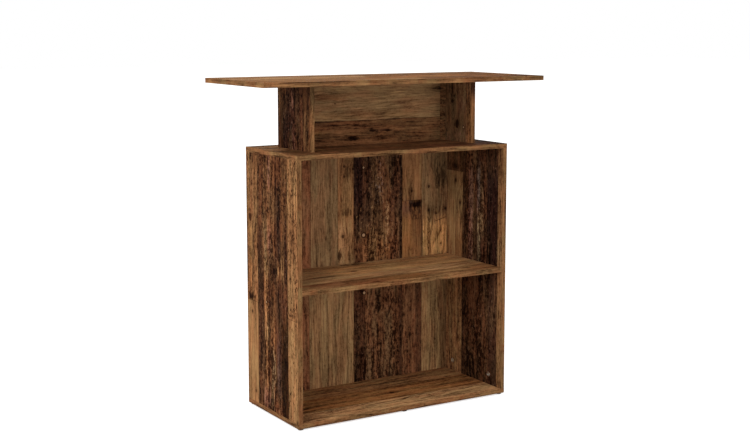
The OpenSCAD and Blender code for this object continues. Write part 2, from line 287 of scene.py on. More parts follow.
def worm_marks(wires, given):
    """Short dark wormy marks, aslant to the grain, over a part of a plank."""
    marks = []
    for slant, cells, seed in ((0.45, (125, 46), 3.0), (-0.25, (110, 40), 8.0)):
        slanting = wires.total(given["Across"], wires.product(given["Along"], slant))
        marks.append(wires.noise(slanting, given["Along"], cells, seed, roughness=0.6))
    threshold = wires.minus(0.70, wires.product(given["Amount"], 0.11))
    mark = wires.fade(wires.most(*marks), threshold, wires.total(threshold, 0.03))
    inside = wires.fade(wires.depth_inside(given), 0.0, 3 * MM)
    return [wires.most(given["Dark"], wires.product(mark, inside, 0.80))]


def old_wood(wires, given):
    """Turns tone and character into the printed, embossed surface of old wood.

    Grain and Along are metres across and along the grain. Weathering goes from smooth
    planed wood at 0 to bark-like weathered wood at 1; Figure is how much of the growth
    rings' pattern shows.
    """
    straight, along = given["Grain"], given["Along"]
    weathering, figure, seed = wires.parts(given["Character"])

    def pattern(across, along, cells, shift, **settings):
        return wires.noise(across, along, cells, wires.total(seed, shift), **settings)

    def by_weather(planed, weathered):
        return wires.mix(weathering, planed, weathered)

    # Slow sway of the grain, then a finer wobble, which is stronger on weathered wood
    sway = pattern(straight, along, (9, 2.2), 0.0)
    wobble = pattern(straight, along, (45, 20), 3.1)
    grain = wires.total(straight, wires.swing(sway, 30 * MM),
                        wires.swing(wobble, by_weather(5 * MM, 12 * MM)))

    # Growth rings, which run out in arches where the slow field bends them
    field = pattern(straight, along, (11, 1.6), 7.7, detail=0.0)
    ring = wires.math("FRACT", wires.total(wires.product(grain, 95), wires.product(field, 17)))
    late_wood = wires.product(wires.math("POWER", ring, 3.0), wires.fade(ring, 1.0, 0.9))

    # Cloudy patches, then bands, streaks, stripes, threads, lines and pores, each finer than
    # the last. Streaks, stripes and threads break up into shorter pieces on weathered wood.
    run = wires.product(along, by_weather(1.0, 2.2))
    patches = pattern(grain, along, (17, 5), 9.1)
    bands = pattern(grain, along, (36, 1.2), 11.3, roughness=0.6)
    streaks = pattern(grain, run, (78, 3.4), 12.7, roughness=0.55)
    stripes = pattern(grain, run, (150, 7.5), 13.9, roughness=0.55)
    threads = pattern(grain, run, (270, 13), 15.1, roughness=0.6)
    lines = pattern(grain, along, (480, 14), 17.9, detail=4.0, roughness=0.65)
    pore = wires.fade(pattern(grain, along, (1900, 70), 23.5, detail=1.0), 0.60, 0.70)

    # Short dark dashes, which lie in the grain
    dash = wires.fade(pattern(grain, along, (210, 24), 27.3, detail=1.0), 0.66, 0.73)

    # Small specks, dark everywhere and also pale on weathered wood
    specks = pattern(grain, along, (290, 150), 33.9, roughness=0.6)
    speck = wires.fade(specks, 0.60, 0.69)
    glint = wires.product(wires.fade(specks, 0.40, 0.31), weathering)

    # Weathered bark: plates with fissures between them, ticks, pale flecks and dark pits
    plates = pattern(grain, along, (52, 20), 19.7, detail=3.0, roughness=0.6)
    off_edge = wires.size(wires.minus(plates, 0.5))
    fissure = wires.product(wires.fade(off_edge, 0.040, 0.008), weathering)
    ticks = pattern(grain, along, (115, 68), 29.1, detail=4.0, roughness=0.72, distortion=0.15)
    spots = pattern(grain, along, (135, 80), 31.7, detail=3.0, roughness=0.66)
    pale_fleck = wires.product(wires.fade(spots, 0.60, 0.68), weathering)
    pit = wires.product(wires.fade(spots, 0.43, 0.35), weathering)

    # Long drying cracks
    split = pattern(grain, along, (30, 1.3), 41.9, roughness=0.55)
    crack = wires.product(wires.fade(wires.size(wires.minus(split, 0.5)), 0.020, 0.004), weathering)

    # How much each adds: on smooth planed wood, and on weathered wood
    level = 0.5
    for noise, planed, weathered in (
            (patches, 0.60, 0.40), (bands, 0.30, 1.40), (streaks, 0.35, 1.30),
            (stripes, 0.65, 1.00), (threads, 0.60, 0.90), (lines, 0.75, 0.70),
            (plates, 0.0, 0.90), (ticks, 0.30, 2.5)):
        level = wires.total(level, wires.swing(noise, by_weather(planed, weathered)))
    level = wires.total(
        level,
        wires.product(late_wood, figure, -0.34),
        wires.product(pore, by_weather(-0.10, -0.06)),
        wires.product(dash, by_weather(-0.16, -0.30)),
        wires.product(crack, -0.34),
        wires.product(speck, by_weather(-0.18, -0.34)),
        wires.product(glint, 0.24),
        wires.product(fissure, -0.12),
        wires.product(pale_fleck, 0.40),
        wires.product(pit, -0.38))
    ramp = wires.node("ShaderNodeValToRGB", {0: level})
    shades = ramp.color_ramp.elements
    shades[0].position, shades[0].color = 0.06, (0.060, 0.042, 0.036, 1.0)
    shades[1].position, shades[1].color = 0.98, (0.88, 0.92, 0.92, 1.0)
    shades.new(0.5).color = (0.50, 0.50, 0.50, 1.0)
    colour = wires.tinted(given["Tone"], wires.scaled(ramp.outputs[0], 2.0))

    # Slow drift of hue between yellow and rust, and pale flecks that look washed out
    drift = pattern(straight, along, (34, 8), 37.3)
    rust = wires.mix_colour(weathering, (1.05, 0.98, 0.92, 1.0), (1.12, 0.95, 0.86, 1.0))
    yellow = (0.97, 1.02, 0.96, 1.0)
    colour = wires.mix_colour(wires.fade(drift, 0.38, 0.62), wires.tinted(colour, yellow),
                              wires.tinted(colour, rust))
    colour = wires.mix_colour(wires.product(pale_fleck, 0.22), colour, paint(142, 112, 92))

    # Seams, stains and nail marks
    colour = wires.mix_colour(wires.product(given["Seam"], 0.60), colour, paint(34, 20, 13))
    colour = wires.tinted(colour, (0.12, 0.09, 0.09, 1.0), given["Dark"])
    colour = wires.mix_colour(wires.product(given["Pale"], 0.85), colour, paint(180, 142, 108))

    roughness = wires.total(
        0.60, wires.product(lines, 0.12), wires.product(weathering, 0.08),
        wires.product(pit, 0.10), wires.product(given["Dark"], 0.06))
    height = wires.total(
        wires.product(lines, 0.45), wires.product(pore, -0.35), wires.product(threads, 0.30),
        wires.product(speck, -0.30), wires.product(ticks, weathering, 0.9),
        wires.product(pit, -0.5), wires.product(fissure, -0.6), wires.product(dash, -0.4),
        wires.product(crack, -0.8), wires.product(late_wood, figure, 0.25),
        wires.product(given["Seam"], -0.9), wires.product(given["Dark"], -0.25))
    return colour, roughness, height


OLD_WOOD = new_group("Old wood", ("Grain", "Along", "Tone", "Character", "Seam", "Dark", "Pale"),
                     ("Color", "Roughness", "Height"), old_wood)

# Places are in millimetres across the grain and along it, on the photographed face, from
# the corner that BOARDS has. Left and low are the edges nearer to that corner.
Plank = namedtuple("Plank", "left right low high own_tone weathering figure")
Streak = namedtuple("Streak", "left right low high own_tone strength")
Flecks = namedtuple("Flecks", "left right low high own_tone amount")
Knot = namedtuple("Knot", "centre_across centre_along radius stretch darkness")
Smudge = namedtuple("Smudge", "centre_across centre_along half_width half_length darkness")
NailMark = namedtuple("NailMark", "centre_across centre_along radius")
Check = namedtuple("Check", "centre_across centre_along half_length slant")
WormMarks = namedtuple("WormMarks", "left right low high amount")
Decor = namedtuple("Decor", "tone weathering figure features")

# The numbers above that are no lengths
PLAIN_FIELDS = ("weathering", "figure", "strength", "amount", "stretch", "darkness", "slant")

# Where planks and streaks start and end that run past a board's edges
START = -1000
END = 2000

PLACE = ("Across", "Along")
EDGES = ("Left", "Right", "Low", "High")
CENTRE = ("Centre Across", "Centre Along")
FEATURE_GROUPS = {
    Plank: new_group(
        "Plank", (*PLACE, *EDGES, "Own Tone", "Own Character", "Tone", "Character", "Seam"),
        ("Tone", "Character", "Seam"), plank),
    Streak: new_group(
        "Streak", (*PLACE, *EDGES, "Ragged", "Own Tone", "Strength", "Tone"), ["Tone"], streak),
    Flecks: new_group(
        "Flecks", (*PLACE, *EDGES, "Own Tone", "Amount", "Seed", "Tone"), ["Tone"], flecks),
    Knot: new_group(
        "Knot", (*PLACE, *CENTRE, "Ragged", "Radius", "Stretch", "Darkness", "Grain", "Dark"),
        ("Grain", "Dark"), knot),
    Smudge: new_group(
        "Smudge", (*PLACE, *CENTRE, "Cloud", "Half Width", "Half Length", "Darkness", "Dark"),
        ["Dark"], smudge),
    NailMark: new_group(
        "Nail mark", (*PLACE, *CENTRE, "Radius", "Dark", "Pale"), ("Dark", "Pale"), nail_mark),
    Check: new_group(
        "Check", (*PLACE, *CENTRE, "Ragged", "Half Length", "Slant", "Dark"), ["Dark"], check),
    WormMarks: new_group(
        "Worm marks", (*PLACE, *EDGES, "Amount", "Dark"), ["Dark"], worm_marks),
}

# Tones of the planks in full light
TONES = {
    "pale tan": paint(174, 131, 91),
    "tan": paint(152, 110, 73),
    "tan shade": paint(138, 97, 64),
    "russet tan": paint(130, 88, 56),
    "orange tan": paint(146, 99, 60),
    "olive": paint(141, 106, 74),
    "olive brown": paint(108, 80, 54),
    "ash": paint(138, 110, 94),
    "pale olive": paint(160, 122, 84),
    "beige": paint(178, 141, 103),
    "red brown": paint(122, 78, 52),
    "pink brown": paint(138, 94, 76),
    "mauve brown": paint(94, 67, 58),
    "brown": paint(112, 76, 50),
    "umber": paint(92, 59, 37),
    "dark": paint(66, 41, 28),
    "purple black": paint(43, 25, 19),
    "burnt black": paint(44, 25, 12),
    "amber": paint(204, 152, 98),
    "bounce-lit honey": paint(225, 168, 109),
}


def bare_wood(across, along, tone, character, ragged=0.5, cloud=0.5):
    """The values that go through the chain of groups, by their inputs' names, at its start."""
    return {"Across": across, "Along": along, "Grain": across, "Ragged": ragged, "Cloud": cloud,
            "Tone": tone, "Character": character, "Seam": 0.0, "Dark": 0.0, "Pale": 0.0}


def own_values(item, seed, number):
    """A feature's own values, by its group's inputs' names. Lengths become metres."""
    values = {"Seed": seed + 2.3 * number}
    for field, value in item._asdict().items():
        if field == "own_tone":
            value = TONES[value]
        elif field not in PLAIN_FIELDS:
            value *= MM
        values[field.replace("_", " ").title()] = value
    if isinstance(item, Plank):
        values["Own Character"] = (item.weathering, item.figure, seed + 1.7 * number)
    return values


def place_features(wires, features, wood, seed):
    """Chains the groups for a board's features, in the order in which they are listed."""
    for number, item in enumerate(features):
        made = wires.use(FEATURE_GROUPS[type(item)], {**wood, **own_values(item, seed, number)})
        wood = {**wood, **made}
    return wood


def new_material(name):
    material = bpy.data.materials.new(name)
    material.use_nodes = True
    return material, Wires(material.node_tree)


def finish(wires, colour, roughness, height, strength, depth):
    """Colour, roughness and an emboss, with its depth in millimetres, into the shader."""
    bump = wires.node("ShaderNodeBump", {"Strength": strength, "Distance": depth * MM,
                                         "Height": height})
    shader = wires.tree.nodes["Principled BSDF"]
    wires.feed(shader.inputs["Base Color"], colour)
    wires.feed(shader.inputs["Roughness"], roughness)
    wires.feed(shader.inputs["Normal"], bump.outputs["Normal"])
    return shader


def finish_wood(wires, wood):
    """Old wood on a matt board."""
    made = wires.use(OLD_WOOD, wood)
    shader = finish(wires, made["Color"], made["Roughness"], made["Height"],
                    strength=0.6, depth=0.25)
    shader.inputs["Specular IOR Level"].default_value = 0.01


def board_material(name, board):
    """The old-wood print for one board. Its second face shows the print turned half round."""
    material, wires = new_material(name + " decor")
    corner = tuple(MM * value for value in board.corner)
    place = wires.node("ShaderNodeVectorMath", {0: wires.object_place(), 1: corner},
                       operation="SUBTRACT").outputs[0]
    across, along, outward = (wires.along_axis(place, way) for way in board.ways)
    turned = wires.math("LESS_THAN", outward, -0.5 * BOARD * MM)
    across = wires.mix(turned, across, wires.minus(board.width * MM, across))
    along = wires.mix(turned, along, wires.minus(board.length * MM, along))
    ragged = wires.noise(across, along, (240, 28), board.seed, detail=3.0, roughness=0.65)
    cloud = wires.noise(across, along, (140, 34), board.seed + 5.0, detail=4.0, roughness=0.65)
    tone, weathering, figure, features = board.decor
    bare = bare_wood(across, along, TONES[tone], (weathering, figure, board.seed), ragged, cloud)
    wood = place_features(wires, features, bare, board.seed)
    # The tint, where a board has one, is a painted shade colour, given as much as the plank is
    # weathered
    weathering = wires.parts(wood["Character"])[0]
    wood["Tone"] = wires.tinted(wood["Tone"], board.tint, weathering)
    finish_wood(wires, wood)
    return material


SIDE_LEFT_DECOR = Decor("brown", 0.8, 0.2, [
    Plank(0, 76, START, 467, "tan shade", 0.5, 0.7),
    Plank(0, 76, 467, END, "tan", 0.1, 0.5),
    Plank(275, 340, START, 480, "tan", 0.3, 0.2),
    Plank(275, 340, 480, END, "tan", 0.2, 0.2),
    Plank(76, 275, START, END, "umber", 0.9, 0.1),
    Streak(27, 58, START, 195, "red brown", 0.5),
    Streak(8, 20, START, 300, "orange tan", 0.6),
    Streak(15, 33, 223, 440, "orange tan", 0.6),
    Streak(35, 46, 225, 430, "brown", 0.8),
    Streak(77, 112, START, END, "dark", 0.3),
    Streak(112, 190, 0, 315, "brown", 0.9),
    Streak(142, 150, START, 80, "dark", 0.7),
    Streak(151, 162, START, 90, "pink brown", 0.9),
    Streak(162, 169, 90, 142, "dark", 0.7),
    Streak(77, 104, 230, 325, "dark", 0.7),
    Streak(118, 137, 225, 330, "olive", 0.8),
    Streak(146, 165, 222, 308, "pink brown", 0.6),
    Streak(122, 147, 335, 760, "tan", 0.85),
    Streak(84, 116, 338, 770, "dark", 0.6),
    Streak(151, 159, 345, 430, "dark", 0.8),
    Streak(164, 190, 490, 625, "tan shade", 0.75),
    Streak(172, 192, 613, 684, "beige", 1.0),
    Streak(178, 201, 322, 378, "dark", 0.9),
    Streak(190, 235, 0, 760, "dark", 0.4),
    Streak(203, 232, 112, 332, "dark", 1.0),
    Streak(206, 255, 326, 372, "tan shade", 1.0),
    Streak(200, 254, 385, 492, "dark", 0.7),
    Streak(200, 236, 505, 742, "dark", 0.7),
    Streak(204, 226, 560, 725, "mauve brown", 0.5),
    Streak(236, 275, 0, 225, "umber", 0.6),
    Streak(252, 275, 225, 400, "dark", 0.9),
    Streak(236, 275, 400, 500, "dark", 0.7),
    Streak(235, 276, 488, END, "burnt black", 1.0),
    Streak(114, 156, 736, 788, "pink brown", 0.9),
    Streak(184, 230, 758, END, "red brown", 0.8),
    Streak(80, 112, 675, 728, "red brown", 0.5),
    Streak(158, 180, 740, 772, "purple black", 0.7),
    Flecks(77, 190, START, 760, "tan shade", 0.35),
    Flecks(192, 275, START, 480, "brown", 0.35),
    Flecks(77, 275, START, END, "purple black", 0.4),
    Streak(276, 340, START, 480, "tan shade", 0.4),
    Streak(167, 181, 650, 748, "beige", 0.9),
    Knot(26, 203, 9, 1.4, 0.95),
    Knot(35, 8, 5, 1.3, 0.9),
    Knot(35, 502, 5, 1.0, 0.9),
    Knot(55, 755, 4, 1.2, 0.8),
    Knot(187, 350, 9, 1.0, 0.95),
    Smudge(34, 456, 24, 18, 1.0),
    Smudge(92, 290, 14, 60, 0.5),
    NailMark(133, 455, 3.0),
    Check(252, 142, 18, 0.03),
    Check(312, 580, 10, 0.3),
    Streak(281, 301, 425, 512, "brown", 0.4),
    Smudge(301, 592, 9, 12, 0.6),
    Smudge(311, 706, 8, 10, 0.4),
    WormMarks(277, 340, 0, 480, 1.0),
    WormMarks(277, 340, 480, 800, 0.65),
    WormMarks(0, 74, 0, 460, 0.4),
])


SIDE_RIGHT_DECOR = Decor("umber", 0.9, 0.1, [
    Plank(0, 118, START, 97, "brown", 0.4, 0.4),
    Plank(0, 118, 97, 420, "pale olive", 0.1, 0.7),
    # The lower rear plank is light: partly its own tone, partly painted light bounced from white
    # boxes in the lower compartment, which the scene leaves out
    Plank(0, 118, 420, END, "tan", 0.4, 0.4),
    Plank(118, 315, START, END, "dark", 0.95, 0.1),
    Plank(315, 340, START, END, "tan", 0.25, 0.4),
    Streak(118, 150, 0, 400, "umber", 0.65),
    Streak(152, 190, 0, 400, "brown", 0.85),
    Streak(152, 179, 50, 400, "pink brown", 0.6),
    Streak(200, 217, 65, 225, "ash", 0.6),
    Streak(205, 232, 218, 285, "olive", 0.95),
    Streak(206, 220, 275, 370, "beige", 0.6),
    Streak(222, 238, 240, 290, "orange tan", 0.6),
    Streak(228, 257, 0, 400, "umber", 0.5),
    Streak(257, 315, 0, 400, "purple black", 1.0),
    Streak(315, 340, START, END, "tan shade", 0.5),
    Streak(128, 270, 410, END, "umber", 0.75),
    Streak(278, 314, 515, 610, "brown", 0.45),
    Flecks(152, 184, 0, 400, "red brown", 0.4),
    Flecks(200, 226, 65, 375, "beige", 0.25),
    Flecks(228, 257, 0, 400, "brown", 0.35),
    Flecks(120, 315, 410, END, "brown", 0.25),
    Flecks(118, 315, 0, END, "purple black", 0.45),
    Knot(77, 130, 5, 1.2, 0.9),
    Knot(102, 203, 4, 1.2, 0.9),
    Knot(47, 488, 5, 1.2, 0.85),
    Streak(118, 315, START, 90, "umber", 0.4),
    Streak(181, 199, 165, 375, "umber", 0.6),
    Streak(219, 234, 50, 235, "brown", 0.6),
    Streak(118, 276, 400, 440, "burnt black", 0.4),
    Streak(300, 314, 430, 515, "brown", 0.6),
    Streak(118, 315, 715, END, "burnt black", 0.4),
    Smudge(70, 80, 32, 17, 0.6),
    Streak(140, 200, START, 80, "tan shade", 0.5),
    Streak(315, 340, START, 85, "umber", 0.6),
    Streak(20, 116, START, 70, "tan shade", 0.35),
    Streak(118, 146, 95, 190, "burnt black", 0.5),
    Streak(219, 236, 120, 290, "olive", 0.4),
    Streak(178, 200, 195, 375, "burnt black", 0.5),
    Streak(221, 236, 305, 400, "dark", 0.75),
    Streak(260, 274, 290, 400, "umber", 0.4),
    Streak(75, 116, 315, 420, "russet tan", 0.85),
    Streak(315, 340, 300, 400, "pale tan", 0.9),
])


BACK_PANEL_DECOR = Decor("brown", 0.6, 0.2, [
    Plank(0, 62, START, END, "tan shade", 0.3, 0.5),
    Plank(62, 155, START, END, "olive", 0.3, 0.4),
    Plank(155, 200, START, END, "red brown", 0.5, 0.2),
    Plank(200, 300, START, 403, "olive", 0.15, 0.5),
    Plank(193, 360, 403, END, "pale olive", 0.08, 0.6),
    Plank(300, 360, START, 403, "tan", 0.2, 0.4),
    Plank(360, 548, START, END, "umber", 0.95, 0.1),
    Plank(548, 627, START, 195, "tan shade", 0.1, 0.5),
    Plank(548, 627, 195, 460, "russet tan", 0.15, 0.5),
    Plank(577, 627, 195, 207, "burnt black", 0.1, 0.1),
    Plank(548, 627, 460, END, "red brown", 0.5, 0.2),
    Plank(627, 730, START, 460, "olive", 0.1, 0.9),
    Plank(627, 730, 460, END, "pale olive", 0.15, 0.5),
    # The tan plank left of the bark, darker at the top and lighter towards the shelf: partly its
    # own tone, partly painted shade under the cabinet top and painted light bounced up from white
    # things on the shelf, which the scene leaves out
    Streak(302, 360, START, 120, "brown", 0.25),
    Streak(302, 360, 115, 258, "russet tan", 0.6),
    Streak(302, 360, 252, 400, "pale tan", 0.9),
    Streak(324, 360, 235, 400, "orange tan", 0.3),
    # The bark, darkest near the cabinet top and lighter towards the shelf: partly its own tone,
    # partly painted shade under the cabinet top and painted light bounced up from the shelf
    Streak(361, 430, 0, 300, "dark", 0.75),
    Streak(361, 394, 0, 215, "purple black", 1.0),
    Streak(395, 476, 282, 400, "russet tan", 0.95),
    Streak(444, 476, 30, 190, "brown", 0.9),
    Streak(476, 502, 30, 250, "umber", 0.4),
    Streak(480, 499, 290, 400, "orange tan", 0.5),
    Streak(503, 548, 10, 245, "dark", 0.7),
    Streak(503, 548, 245, 400, "red brown", 0.5),
    Flecks(362, 394, 0, 205, "umber", 0.2),
    Flecks(362, 394, 200, 400, "tan shade", 0.6),
    Flecks(416, 440, 0, 400, "tan", 0.4),
    Flecks(440, 474, 20, 200, "ash", 0.6),
    Flecks(482, 497, 180, 350, "pale olive", 1.1),
    Flecks(500, 548, 0, 400, "russet tan", 0.6),
    Flecks(362, 548, START, END, "purple black", 0.5),
    Streak(536, 548, 0, END, "dark", 0.8),
    # The planks right of the bark
    Streak(548, 627, START, 190, "tan", 0.35),
    Streak(549, 588, 203, 248, "mauve brown", 0.7),
    Streak(548, 590, 240, 400, "orange tan", 0.5),
    Streak(590, 627, 196, 330, "umber", 0.35),
    Streak(612, 627, 203, 330, "umber", 0.5),
    Streak(675, 730, START, 90, "olive brown", 0.4),
    # Painted bounce light: a warm, light patch low on these planks, where white things on the
    # shelf, which the scene leaves out, throw light back
    Streak(632, 730, 262, 400, "bounce-lit honey", 0.78),
    Streak(667, 674, 238, 302, "umber", 0.9),
    Streak(657, 664, 298, 385, "umber", 0.9),
    Flecks(574, 627, 200, 220, "purple black", 2.4),
    Flecks(584, 627, 212, 262, "dark", 1.3),
    WormMarks(630, 666, 246, 400, 0.55),
    WormMarks(549, 566, 40, 190, 0.3),
    Check(703, 267, 26, -0.26),
    # The planks below the shelf
    Streak(193, 360, 403, END, "olive", 0.35),
    Streak(362, 404, 403, END, "dark", 0.6),
    Streak(405, 520, 403, END, "brown", 0.75),
    Streak(452, 480, 403, END, "umber", 0.7),
    Streak(548, 600, 460, END, "umber", 0.25),
    Streak(600, 627, 460, END, "dark", 0.6),
    Streak(702, 730, 460, END, "umber", 0.5),
    # Knots, smudges and nail marks, and a last lightening low on the bark: partly its own tone,
    # partly painted light bounced up from the shelf
    Knot(587, 163, 3.3, 1.1, 0.95),
    Knot(655, 152, 4.5, 1.1, 0.95),
    Knot(655, 233, 4.5, 1.1, 0.95),
    Knot(723, 232, 3.5, 1.1, 0.9),
    Knot(705, 351, 3.0, 1.1, 0.8),
    Knot(325, 65, 3.5, 1.2, 0.8),
    Knot(357, 75, 3.5, 1.2, 0.9),
    Knot(325, 98, 3.5, 1.2, 0.8),
    Knot(320, 295, 4.4, 1.3, 0.9),
    Smudge(606, 212, 22, 12, 0.95),
    Smudge(706, 120, 26, 44, 0.75),
    Smudge(334, 75, 16, 34, 0.45),
    Smudge(308, 358, 9, 22, 0.9),
    Smudge(334, 216, 18, 15, 0.75),
    NailMark(398, 73, 3.4),
    NailMark(398, 297, 5.4),
    NailMark(400, 491, 4.6),
    Streak(418, 476, 300, 400, "orange tan", 0.45),
])


RISER_LEFT_DECOR = Decor("umber", 0.9, 0.1, [
    Plank(0, 35, START, END, "umber", 0.6, 0.2),
    Plank(35, 165, START, END, "dark", 0.9, 0.1),
    Plank(165, 210, START, END, "umber", 0.5, 0.3),
    Streak(0, 34, START, 110, "olive brown", 0.75),
    Streak(0, 34, 80, END, "dark", 0.65),
    Streak(165, 188, 70, END, "brown", 0.8),
    Streak(165, 206, START, 62, "umber", 0.6),
    Streak(36, 60, 112, END, "purple black", 0.8),
    Streak(50, 95, 105, 148, "purple black", 0.9),
    Streak(90, 103, 28, 78, "pink brown", 0.8),
    Streak(112, 164, START, END, "umber", 0.35),
    Streak(112, 164, START, 68, "dark", 0.4),
    Flecks(50, 112, START, END, "ash", 0.3),
    Flecks(112, 165, START, END, "brown", 0.6),
    Flecks(112, 165, 100, END, "russet tan", 0.4),
    Flecks(36, 165, START, END, "purple black", 0.6),
    Streak(188, 201, 28, 88, "dark", 0.9),
    Streak(186, 202, 92, 130, "russet tan", 0.7),
    Streak(184, 202, 130, 186, "dark", 0.9),
    Knot(128, 164, 7, 1.3, 0.9),
    Knot(113, 148, 5, 1.1, 0.8),
    Streak(18, 37, 60, END, "burnt black", 0.75),
    Streak(36, 56, START, 70, "brown", 0.65),
    Streak(94, 112, 150, END, "pink brown", 0.8),
    Streak(112, 136, 62, 105, "dark", 0.5),
    Streak(112, 207, START, 60, "dark", 0.25),
    Streak(75, 94, 155, END, "brown", 0.5),
    Streak(165, 188, 108, 150, "tan shade", 0.4),
    Streak(188, 207, 150, END, "russet tan", 0.6),
])

RISER_RIGHT_DECOR = Decor("umber", 0.7, 0.2, [
    Plank(0, 180, START, END, "olive brown", 0.35, 0.4),
    Plank(180, 210, START, END, "russet tan", 0.4, 0.3),
    Streak(172, 210, START, 18, "mauve brown", 0.8),
    Streak(172, 206, 18, 50, "olive", 0.7),
    Streak(134, 182, 50, 106, "pink brown", 0.5),
    Streak(200, 210, 45, 150, "orange tan", 0.8),
    Streak(65, 115, START, 55, "umber", 0.6),
    Streak(66, 100, 75, 160, "brown", 0.6),
    Streak(65, 180, START, 78, "olive", 0.45),
    Streak(65, 180, 84, 158, "umber", 0.35),
    Streak(138, 143, 60, END, "dark", 0.8),
    Streak(168, 188, 48, 76, "umber", 0.8),
    Streak(161, 188, 138, 170, "dark", 0.6),
    Flecks(65, 205, 158, END, "pink brown", 0.7),
    Flecks(65, 205, START, END, "dark", 0.5),
    Knot(131, 144, 7, 1.7, 1.0),
    Knot(102, 70, 5.5, 1.1, 0.95),
    Knot(114, 52, 3.0, 1.0, 0.8),
    Smudge(131, 143, 13, 18, 1.0),
    Smudge(103, 38, 9, 24, 0.7),
    NailMark(167, 152, 3.0),
    Streak(150, 190, 85, 140, "umber", 0.55),
    Streak(90, 130, 20, 85, "olive", 0.35),
    Streak(90, 110, 85, 145, "olive", 0.4),
    Streak(150, 210, START, 50, "olive", 0.4),
    Streak(130, 150, 50, 110, "umber", 0.4),
    Streak(190, 210, 140, END, "orange tan", 0.6),
])

RISER_BACK_DECOR = Decor("olive", 0.3, 0.4, [
    Plank(START, 123, START, END, "olive", 0.05, 0.4),
    Plank(123, END, START, END, "brown", 0.25, 0.4),
    Plank(START, END, 548, END, "brown", 0.5, 0.1),
    Streak(125, 150, 20, 300, "red brown", 0.7),
    Streak(37, 58, 72, 190, "brown", 0.9),
    Streak(95, 118, 60, 450, "tan shade", 0.5),
    Streak(33, 47, 370, 400, "pale tan", 0.7),
    Streak(145, 165, 62, 90, "orange tan", 0.8),
    Streak(121, 127, 60, 185, "dark", 0.9),
    Streak(121, 127, 320, 440, "dark", 0.9),
    Streak(156, 162, 285, 350, "purple black", 0.9),
    Streak(145, 150, 390, 450, "dark", 0.9),
    Streak(60, END, 525, END, "olive brown", 0.6),
    Streak(152, 158, 290, 345, "dark", 0.9),
    Knot(178, 209, 4.5, 2.4, 0.95),
    Knot(30, 547, 4.0, 1.4, 0.85),
    Knot(157, 285, 3.5, 2.2, 0.95),
    Knot(158, 347, 3.0, 2.2, 0.95),
    Smudge(157, 289, 7.0, 17, 1.0),
    Smudge(158, 343, 6.0, 17, 1.0),
    Smudge(179, 216, 7.0, 22, 1.0),
    Knot(68, 152, 2.4, 1.4, 0.85),
    Streak(124, 150, 310, 450, "umber", 0.6),
    Streak(150, 178, 140, 205, "red brown", 0.5),
    Streak(150, END, 380, 450, "umber", 0.3),
    Streak(20, 84, 255, 325, "olive brown", 0.2),
    Streak(18, 50, 130, 205, "pale olive", 0.3),
])

DESK_TOP_DECOR = Decor("tan", 0.2, 0.6, [
    Plank(START, 96, START, 610, "tan", 0.25, 0.6),
    Plank(START, 96, 610, END, "tan shade", 0.3, 0.6),
    Plank(96, 214, START, 470, "pale tan", 0.15, 0.8),
    Plank(96, 214, 470, END, "orange tan", 0.35, 0.8),
    Plank(214, 330, START, 380, "tan", 0.25, 0.5),
    Plank(214, 330, 380, END, "orange tan", 0.35, 0.7),
    Plank(330, END, START, 560, "tan", 0.25, 0.5),
    Plank(330, END, 560, END, "russet tan", 0.4, 0.5),
    Streak(180, 230, 800, 900, "red brown", 0.6),
    Streak(330, 400, 880, END, "umber", 0.7),
    Streak(255, 345, 925, END, "umber", 0.6),
    Streak(300, 400, START, 130, "orange tan", 0.6),
    Flecks(96, 400, 560, END, "brown", 0.5),
    Flecks(START, END, START, 560, "tan shade", 0.3),
    Knot(290, 240, 6, 1.6, 0.85),
    Knot(360, 955, 9, 1.8, 0.9),
    Knot(150, 720, 5, 1.6, 0.8),
    Knot(60, 130, 4, 1.6, 0.8),
    Knot(265, 610, 4, 1.6, 0.8),
    Smudge(200, 925, 14, 40, 0.5),
])

CABINET_TOP_DECOR = Decor("tan shade", 0.25, 0.5, [
    Plank(START, 118, START, END, "tan", 0.2, 0.6),
    Plank(118, 232, START, 160, "tan", 0.2, 0.5),
    Plank(118, 232, 160, END, "brown", 0.3, 0.5),
    Plank(232, END, START, 95, "tan shade", 0.2, 0.5),
    # The front planks are darker: partly their own tone, partly painted shadow from the desk top
    # above and from loose papers that the scene leaves out
    Plank(232, END, 95, 500, "umber", 0.4, 0.3),
    Plank(232, END, 500, 690, "red brown", 0.4, 0.3),
    Plank(150, END, 690, END, "umber", 0.3, 0.3),
    Streak(240, 330, 500, 660, "dark", 0.6),
    Streak(290, 318, 100, 180, "red brown", 0.8),
    Streak(236, 300, 12, 100, "umber", 0.9),
    Streak(START, END, 728, END, "purple black", 1.0),
    Knot(290, 180, 5, 1.6, 0.85),
    Knot(180, 520, 5, 1.6, 0.85),
    Smudge(205, 27, 22, 22, 0.55),
    Streak(START, 24, 20, 120, "dark", 0.9),
    Streak(122, 180, START, 80, "pale tan", 0.6),
    # These darken the front further: partly dark planks, partly painted shadow
    Streak(185, END, 10, 95, "umber", 0.5),
    Streak(300, END, 95, 560, "dark", 0.3),
    Streak(240, END, 560, END, "dark", 0.5),
])

